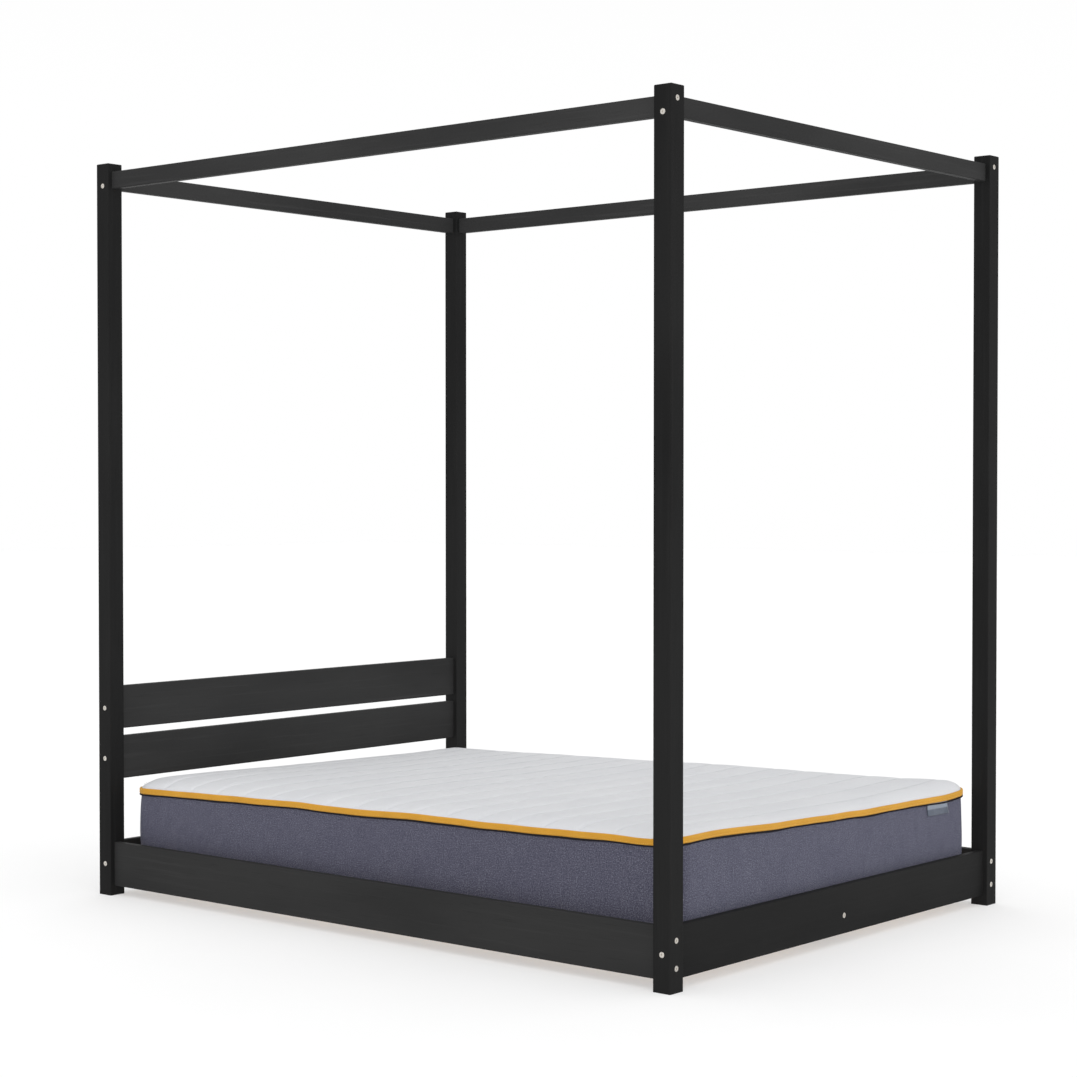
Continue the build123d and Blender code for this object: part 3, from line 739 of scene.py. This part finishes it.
def tape_fabric():
    """Mustard edge tape: a ribbed weave with small herringbone ribs across it."""
    s = Surface("mustard_tape", Specular_IOR_Level=0.25, Sheen_Weight=0.35, Sheen_Roughness=0.35)
    s.shader.inputs["Sheen Tint"].default_value = (1.0, 0.74, 0.30, 1)
    along, up = s.cloth()
    slant = s.calc("PINGPONG", up, 0.004)
    ribs = s.ridges(s.calc("ADD", along, slant), 0.0013)
    threads = s.ridges(up, 0.0007)
    weave = s.calc("MULTIPLY", ribs, s.calc("ADD", 0.55, s.calc("MULTIPLY", threads, 0.45)))
    fleck = s.noise(s.vector(along, s.calc("MULTIPLY", up, 4.0)), 340.0, 3.0, 0.6)
    patch = s.noise(s.vector(along, up), 11.0, 2.0, 0.5)
    rib_hollow_shade, gold, pale = (0.44, 0.204, 0.016), (0.61, 0.300, 0.027), (0.73, 0.426, 0.081)
    colour = s.blend(s.spread(patch, 0.3, 0.7), (0.56, 0.270, 0.022), gold)
    colour = s.blend(s.spread(fleck, 0.55, 0.75, 0.0, 0.6), colour, pale)
    # Darker in the hollows between the ribs: painted shade
    colour = s.blend(s.spread(weave, 0.05, 0.55, 0.6, 0.0), colour, rib_hollow_shade)
    s.relief((weave, 0.0004, 0.8), (fleck, 0.0002, 0.4))
    return s.finish(colour, s.spread(fleck, 0.3, 0.7, 0.66, 0.80))


def shadow_line_fabric():
    """Near-black cord under the tape: painted shadow, standing for the thin line of shade beneath the
    tape's lower edge.
    """
    s = Surface("shadow_line_cord", Specular_IOR_Level=0.1)
    along, up = s.cloth()
    twist = s.calc("SINE", s.calc("MULTIPLY", s.calc("ADD", along, up), 2 * math.pi / 0.0022))
    lint = s.noise(s.vector(along, up), 700.0, 3.0, 0.6)
    colour = s.blend(s.spread(twist, -1, 1), (0.006, 0.006, 0.008), (0.020, 0.018, 0.020))
    colour = s.blend(s.spread(lint, 0.55, 0.8, 0.0, 0.5), colour, (0.045, 0.040, 0.040))
    s.relief((twist, 0.0004, 0.7), (lint, 0.0002, 0.5))
    return s.finish(colour, s.spread(lint, 0.3, 0.7, 0.75, 0.9))


def thread(name, dark, light):
    """Twisted sewing thread."""
    s = Surface(name, Specular_IOR_Level=0.3, Sheen_Weight=0.2)
    twist = s.noise(s.place((1600.0, 1600.0, 1600.0)), 1.0, 2.0, 0.6)
    fibre = s.noise(s.place(), 5200.0, 1.0, 0.5)
    s.relief((twist, 0.0002, 0.6), (fibre, 0.0001, 0.4))
    return s.finish(s.blend(s.spread(twist, 0.35, 0.65), dark, light), s.spread(fibre, 0.3, 0.7, 0.5, 0.68))


def base_fabric():
    """Charcoal non-slip underside: a coarse cloth with raised rubber dots."""
    s = Surface("anti_slip_base", Specular_IOR_Level=0.25)
    here = s.place()
    split = s.node("SeparateXYZ", {0: here})
    height, over = plain_weave(s, split.outputs[0], split.outputs[1], 0.0012, s.noise(here, 400.0))
    dot = s.spread(s.cells(here, DOTS_PER_METRE, 0.0), 0.30, 0.22)
    dust = s.noise(here, 9.0, 4.0, 0.6)
    colour = s.blend(over, (0.036, 0.036, 0.040), (0.052, 0.052, 0.057))
    colour = s.blend(dot, colour, (0.010, 0.010, 0.011))
    colour = s.blend(s.spread(dust, 0.45, 0.8, 0.0, 0.25), colour, (0.085, 0.082, 0.078))
    s.relief((height, 0.0004, 0.6), (dot, 0.0010, 0.8))
    return s.finish(colour, s.spread(dot, 0.0, 1.0, 0.88, 0.55))


def foam():
    """Cut polyurethane foam: open cells and faint yellowing."""
    s = Surface("mattress_foam", Specular_IOR_Level=0.2)
    here = s.place()
    open_cells = s.cells(here, 900.0)
    patch = s.noise(here, 6.0, 3.0, 0.5)
    colour = s.blend(s.spread(patch, 0.3, 0.7), (0.80, 0.76, 0.62), (0.84, 0.80, 0.70))
    # Darker inside the open cells: painted shade
    colour = s.blend(s.spread(open_cells, 0.2, 0.7, 0.4, 0.0), colour, (0.50, 0.45, 0.33))
    s.relief((patch, 0.001, 0.2), (open_cells, 0.0008, 0.7))
    return s.finish(colour, s.spread(open_cells, 0.0, 0.8, 0.95, 0.85))


def satin():
    """Woven satin of the sewn-in tag."""
    s = Surface("tag_satin", Specular_IOR_Level=0.28, Sheen_Weight=0.1, Anisotropic=0.35)
    along, up = s.cloth()
    floats = s.noise(s.stretched(along, up, 300.0, 4200.0), 1.0, 2.0, 0.6)
    binders = s.ridges(s.calc("ADD", up, along), 0.0009)
    crease = s.noise(s.vector(along, up), 38.0, 3.0, 0.55)
    # Darker down in the creases: painted shade
    colour = s.blend(s.spread(crease, 0.3, 0.7), (0.055, 0.067, 0.095), (0.080, 0.097, 0.130))
    # Lighter along the top: partly the pale band of the tag's own lettering row, left blank, partly a
    # painted sheen on its top fold
    colour = s.blend(s.spread(up, -0.019, -0.015, 0.0, 0.75), colour, (0.230, 0.265, 0.320))
    # Darker in the grooves between the binding points: painted shade
    colour = s.blend(s.spread(binders, 0.0, 0.3, 0.4, 0.0), colour, (0.055, 0.064, 0.090))
    s.relief((crease, 0.0012, 0.3), (floats, 0.0001, 0.5), (binders, 0.00012, 0.5))
    return s.finish(colour, s.spread(floats, 0.3, 0.7, 0.34, 0.46))


def floor_paint():
    """Pale matt studio floor."""
    s = Surface("studio_floor", Specular_IOR_Level=0.1)
    patch = s.noise(s.place(), 0.7, 4.0, 0.5)
    s.relief((s.noise(s.place(), 60.0, 2.0, 0.5), 0.0004, 0.1))
    colour = s.blend(s.spread(patch, 0.3, 0.7), (0.90, 0.90, 0.90), (0.92, 0.92, 0.92))
    return s.finish(colour, s.spread(patch, 0.3, 0.7, 0.85, 0.92))


# ---------------------------------------------------------------- finishes of the CAD pieces
def dress(names, material):
    """Gives every named CAD node one material."""
    for name in names:
        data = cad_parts[name].data
        data.materials.clear()
        data.materials.append(material)


SIDES, ENDS = ("left", "right"), ("foot", "head")


def dress_frame():
    # Each kind of member gets its own copy of the one paint, whose last number makes it lighter or darker
    # for how that member is lit: painted light and shade
    dress([f"post_{e}_{s}" for e in ENDS for s in SIDES], painted_timber("painted_post", 2, 0.68))
    dress([f"canopy_rail_{s}" for s in SIDES], painted_timber("painted_canopy_side", 1, 1.75))
    dress([f"canopy_rail_{e}" for e in ENDS], painted_timber("painted_canopy_end", 0, 1.6))
    dress([f"side_rail_{s}" for s in SIDES], painted_timber("painted_side_rail", 1, 1.3))
    dress([f"{e}_rail" for e in ENDS], painted_timber("painted_end_rail", 0, 0.75))
    dress(["headboard_lower_plank", "headboard_upper_plank"], painted_timber("painted_plank", 0, 1.5))
    supports = ["centre_beam", "slat_ledger_left", "slat_ledger_right"]
    dress(supports, painted_timber("painted_support", 1, 1.0))
    dress(["centre_leg_foot", "centre_leg_head"], painted_timber("painted_leg", 2, 0.9))
    slats = sorted(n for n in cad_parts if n.startswith("slat_") and n[5:].isdigit())
    dress(slats, bare_timber("natural_pine", 0, (0.70, 0.475, 0.255), (0.50, 0.275, 0.115), 5.5, True))
    dowels = [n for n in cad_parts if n.endswith("_dowels")]
    dress(dowels, bare_timber("beech", 0, (0.56, 0.355, 0.215), (0.45, 0.260, 0.140), 30.0, False))
    bolts = [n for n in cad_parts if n.endswith("_bolts")]
    dress(bolts, plated_steel("nickel_plate", (0.66, 0.63, 0.58), (0.50, 0.47, 0.43), 0.22, 0.36, 900.0))
    zinc = [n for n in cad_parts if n.endswith(("_barrel_nuts", "_screws", "_studs"))]
    dress(zinc, plated_steel("zinc_plate", (0.60, 0.63, 0.66), (0.42, 0.45, 0.47), 0.30, 0.46, 700.0))


# ---------------------------------------------------------------- the mattress
def settle(piece, material, slot, fill, *nodes):
    """Gives a mattress piece its material, hangs it on the mattress body and hides the CAD nodes that it
    replaces.
    """
    piece.data.materials.append(material)
    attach(piece, "mattress")
    if nodes:
        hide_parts(*nodes)


def make_mattress():
    settle(make_top_panel(), quilt_fabric(), "mattress_top_fabric", 0.75, "mattress_top_panel")
    # Grey quilting thread, made darker than the knit to paint shade along the bottoms of the creases
    settle(make_quilt_stitches(), thread("quilt_thread_with_crease_shade", (0.30, 0.31, 0.34), (0.46, 0.47, 0.50)),
           "mattress_top_fabric", None)
    settle(make_border(), border_fabric(), "mattress_border_fabric", 0.8, "mattress_border")
    band = loft_ring("mattress_binding_tape", oval(TAPE_OUT, TAPE_HALF, 0.55, 20), 0.0, 0.0002)
    settle(band, tape_fabric(), "mattress_tape", None, "mattress_edge_tape")
    settle(make_tape_stitches(), thread("tape_thread", (0.60, 0.30, 0.03), (0.85, 0.50, 0.10)),
           "mattress_tape", None)
    # A near-black cord just under the tape paints the shadow line beneath its lower edge
    section = oval(0.0027, 0.0025, 0.8, 12)
    seam = loft_ring("mattress_shadow_line_cord", section, TAPE_HALF + SHADOW_LINE_DROP, 0.0010, 0.0015, 41)
    settle(seam, shadow_line_fabric(), "mattress_tape", None)
    place = outline(SLAB_POINTS)[0]
    core_top = edge_height(place[:, 0], place[:, 1]) - TAPE_HALF * 0.6
    core = make_slab("mattress_foam_core", [(0.016, BORDER_LOW.z + 0.0035), (0.013, BORDER_LOW.z + 0.008),
                                            (0.013, core_top - 0.006), (0.018, core_top)])
    settle(core, foam(), "mattress_foam", 0.9, "mattress_core")
    base = make_slab("mattress_base_cloth", [(0.006, BASE_LOW.z), (0.0035, BASE_LOW.z + 0.0012),
                                             (0.0035, BASE_HIGH.z - 0.0008), (0.006, BASE_HIGH.z)])
    settle(base, base_fabric(), "mattress_base_fabric", None, "mattress_base_panel")
    settle(make_label(), satin(), "mattress_label", None, "mattress_label")


# ---------------------------------------------------------------- studio
def make_floor():
    """A wide pale floor just under the feet."""
    half, steps, drop = 30.0, 24, -0.0002
    line = np.linspace(-half, half, steps + 1)
    points = [(x, y, drop) for x in line for y in line]
    floor = new_piece("studio_floor", points, grid_faces(steps + 1, steps + 1))
    floor.data.materials.append(floor_paint())


def make_world():
    """Even white light, fullest round the horizon and weaker overhead."""
    world = bpy.data.worlds.new("studio_world")
    world.use_nodes = True
    tree = world.node_tree
    direction = tree.nodes.new("ShaderNodeTexCoord")
    split = tree.nodes.new("ShaderNodeSeparateXYZ")
    fall = tree.nodes.new("ShaderNodeMapRange")
    fall.interpolation_type = "SMOOTHSTEP"
    for socket, value in {"From Min": 0.15, "From Max": 0.85, "To Min": 1.0, "To Max": 0.50}.items():
        fall.inputs[socket].default_value = value
    tree.links.new(direction.outputs["Generated"], split.inputs[0])
    tree.links.new(split.outputs[2], fall.inputs["Value"])
    tree.links.new(fall.outputs[0], tree.nodes["Background"].inputs["Strength"])
    tree.nodes["Background"].inputs["Color"].default_value = (1, 1, 1, 1)
    bpy.context.scene.world = world


def make_studio():
    make_world()
    bpy.context.scene.view_settings.view_transform = "Standard"
    key = bpy.data.lights.new("key_light", "SUN")
    key.energy, key.angle = 2.2, math.radians(45)
    key.use_shadow = False     # large studio softboxes leave no shadow of the thin posts on the bed
    lamp = bpy.data.objects.new("key_light", key)
    lamp.rotation_euler = (-Vector((-0.50, -0.56, 0.82))).to_track_quat("-Z", "Y").to_euler()
    bpy.context.scene.collection.objects.link(lamp)


def make_camera():
    """Long lens from the foot's left, a little above the mattress, looking almost level."""
    data = bpy.data.cameras.new("camera")
    data.lens, data.sensor_width = 76.26, 36.0
    data.clip_start, data.clip_end = 0.1, 100.0
    camera = bpy.data.objects.new("camera", data)
    camera.location = (-4.796, -4.026, 1.126)
    camera.rotation_euler = Euler((math.radians(90 - 1.23), 0, math.radians(-49.89)), "XYZ")
    bpy.context.scene.collection.objects.link(camera)
    bpy.context.scene.camera = camera


make_camera()
dress_frame()
make_mattress()
make_floor()
make_studio()
